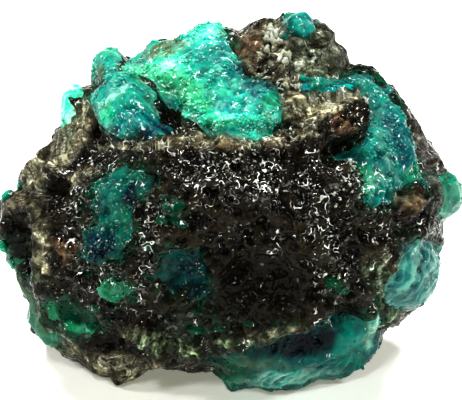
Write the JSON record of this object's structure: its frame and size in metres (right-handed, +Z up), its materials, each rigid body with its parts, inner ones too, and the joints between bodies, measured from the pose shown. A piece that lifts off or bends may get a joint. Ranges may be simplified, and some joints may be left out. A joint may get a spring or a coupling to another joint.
{
  "type": "chrysocolla specimen",
  "caption": "Hand specimen of dark, glassy iron-oxide rock with blue-green chrysocolla grown over its top and flanks and in its hollows, resting on a flat break.",
  "frame": {"origin": "middle of the specimen's box, on the level of the flat break that it rests on", "axes": "+X to the right along the specimen's length, +Z up, and -Y towards a person who looks at the display face"},
  "size_m": [0.0468, 0.0318, 0.0347],
  "materials": {
    "iron_rock": "brown-black iron oxide, rough with small lumps and pits, with a glassy skin",
    "chrysocolla": "blue-green copper silicate, waxy to drusy, glossy and slightly translucent at its edges"
  },
  "bodies": {
    "root": {"iron_rock": "iron_rock", "top_growth": "chrysocolla", "dome_growth": "chrysocolla", "edge_knob": "chrysocolla", "left_edge_growth": "chrysocolla", "left_pocket_growth": "chrysocolla", "centre_pocket_growth": "chrysocolla", "green_chip": "chrysocolla", "bowl_growth": "chrysocolla", "underside_growth": "chrysocolla", "lower_right_growth": "chrysocolla", "right_flank_growth": "chrysocolla", "right_end_knob": "chrysocolla", "summit_ball": "chrysocolla", "left_rim_growth": "chrysocolla", "back_crest_growth": "chrysocolla", "back_right_growth": "chrysocolla", "back_pocket_growth": "chrysocolla", "back_corner_growth": "chrysocolla"}
  },
  "joints": []
}
